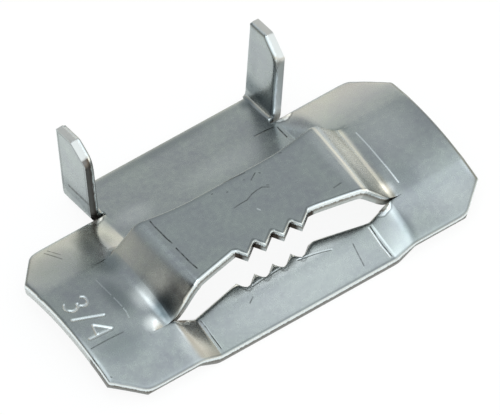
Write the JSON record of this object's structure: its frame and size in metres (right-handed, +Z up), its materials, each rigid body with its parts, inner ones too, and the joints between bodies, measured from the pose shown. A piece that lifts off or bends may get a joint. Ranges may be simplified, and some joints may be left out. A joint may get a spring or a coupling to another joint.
{
  "type": "strapping buckle",
  "caption": "Arched one-piece steel buckle for metal strapping band, with a raised toothed bridge over the band channel and upright fold-over ears.",
  "frame": {"origin": "on the level the buckle rests on, under the middle of its outline", "axes": "+X along the buckle from wing to wing, +Y along the band towards the ears, +Z up"},
  "size_m": [0.043, 0.025, 0.0116],
  "materials": {
    "sheet_steel": "satin rolled sheet with bright rolled edges and grey sheared edges"
  },
  "bodies": {
    "root": {"buckle": "sheet_steel"}
  },
  "joints": []
}
